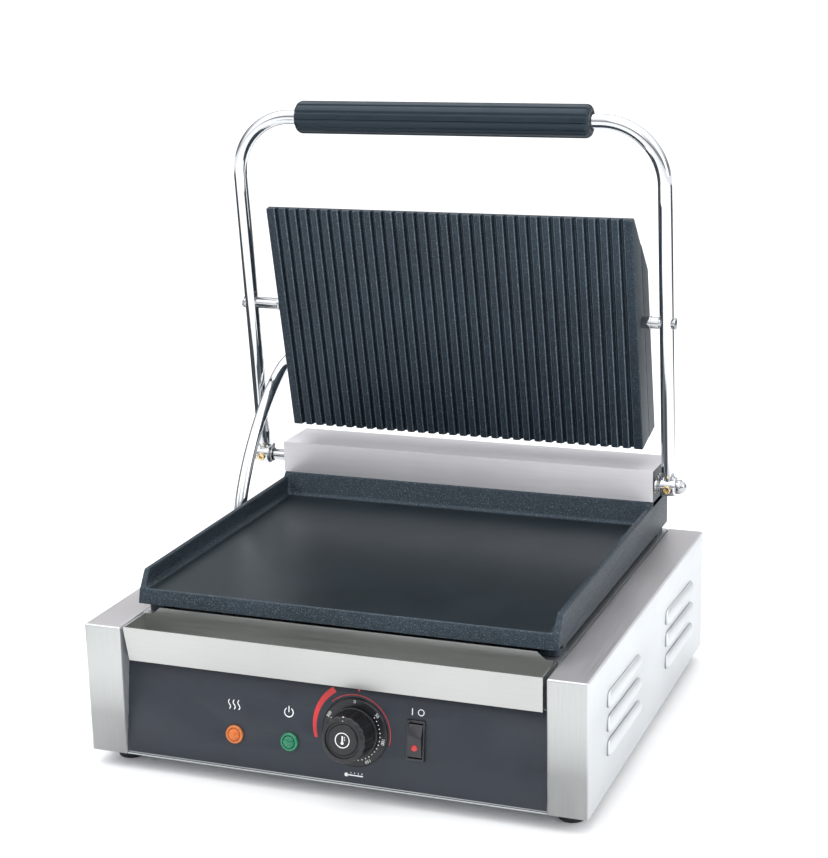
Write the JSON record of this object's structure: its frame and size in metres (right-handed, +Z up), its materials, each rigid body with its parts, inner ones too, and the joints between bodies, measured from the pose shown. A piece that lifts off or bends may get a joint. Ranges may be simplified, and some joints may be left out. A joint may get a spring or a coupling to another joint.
{
  "type": "panini press",
  "caption": "Sheet-metal contact grill with a rimmed griddle plate, a ribbed upper plate in a U-shaped chrome handle, a drip tray and a control panel.",
  "frame": {"origin": "centre of the body's footprint, on the surface that the feet stand on", "axes": "+Z up, +Y from the control panel to the rear cover, +X to the right seen from the front"},
  "size_m": [0.4231, 0.4169, 0.5008],
  "materials": {
    "stainless": "brushed, straight grain",
    "zinc_steel": "dull zinc plate",
    "film": "satin printed film",
    "iron": "seasoned enamel over fine casting grain",
    "chrome": "polished chrome plate",
    "brass": "plain brass",
    "spring_steel": "oiled spring wire",
    "rubber": "matte",
    "grip_plastic": "satin moulded plastic",
    "black_plastic": "semi-gloss moulded plastic",
    "orange_lens": "clear tinted plastic",
    "green_lens": "clear tinted plastic",
    "red_lens": "clear tinted plastic",
    "heater": "oxidised heater sheath",
    "wool": "mineral wool",
    "ceramic": "unglazed ceramic"
  },
  "bodies": {
    "body": {"base_pan": "zinc_steel", "side_cover_left": "stainless", "side_cover_right": "stainless", "rear_cover": "stainless", "front_panel": "stainless", "panel_film": "film", "deck": "zinc_steel", "foot_front_left": "rubber", "foot_front_right": "rubber", "foot_rear_left": "rubber", "foot_rear_right": "rubber", "foot_screws": "zinc_steel", "lower_plate": "iron", "lower_element": "heater", "lower_clamps": "zinc_steel", "lower_plate_bolts": "zinc_steel", "hinge_cover": "stainless", "hinge_cover_screws": "zinc_steel", "bush_left": "brass", "bush_right": "brass", "spring_left": "spring_steel", "spring_right": "spring_steel", "conduit": "chrome", "conduit_gland_lower": "chrome", "dial_plate": "black_plastic", "thermostat": "zinc_steel", "heat_lamp_bezel": "orange_lens", "heat_lamp_lens": "orange_lens", "power_lamp_bezel": "green_lens", "power_lamp_lens": "green_lens", "switch_frame": "black_plastic", "inlet_gland": "black_plastic", "terminal_block": "ceramic"},
    "handle": {"handle_tube": "chrome", "grip": "grip_plastic", "hinge_shaft": "chrome", "shaft_nuts": "chrome", "shaft_clips": "chrome", "set_screws": "brass", "spring_collars": "zinc_steel"},
    "upper": {"upper_plate": "iron", "upper_cover": "iron", "upper_cover_screws": "zinc_steel", "upper_element": "heater", "upper_insulation": "wool", "tilt_pin_left": "chrome", "tilt_pin_right": "chrome", "conduit_gland_upper": "chrome"},
    "tray": {"drip_tray": "stainless"},
    "knob": {"knob": "black_plastic", "knob_cap": "black_plastic", "thermostat_shaft": "brass"},
    "rocker": {"switch_rocker": "black_plastic", "switch_lens": "red_lens"}
  },
  "joints": [
    {"name": "handle_hinge", "type": "hinge", "parent": "body", "child": "handle", "pos_m": [0, 0.138, 0.1727], "axis": [1, 0, 0], "range_deg": [0, 88.71], "stiffness_Nm_per_rad": 2.5, "springref_deg": -51.57, "deforming": ["spring_left", "spring_right", "conduit"]},
    {"name": "plate_tilt", "type": "hinge", "parent": "handle", "child": "upper", "pos_m": [0, 0.12372, 0.3183], "axis": [1, 0, 0], "range_deg": [-10.51, 0.2]},
    {"name": "tray_slide", "type": "slide", "parent": "body", "child": "tray", "axis": [0, -1, 0], "range_m": [0, 0.07]},
    {"name": "knob_turn", "type": "hinge", "parent": "body", "child": "knob", "pos_m": [0.0205, -0.18005, 0.05466], "axis": [0, -0.9899, 0.1414], "range_deg": [-300, 0]},
    {"name": "rocker_tilt", "type": "hinge", "parent": "body", "child": "rocker", "pos_m": [0.07, -0.17659, 0.05417], "axis": [1, 0, 0], "range_deg": [0, 10]}
  ],
  "couplings": [
    {"joint": "plate_tilt", "follows": "handle_hinge", "ratio": -0.11624}
  ]
}
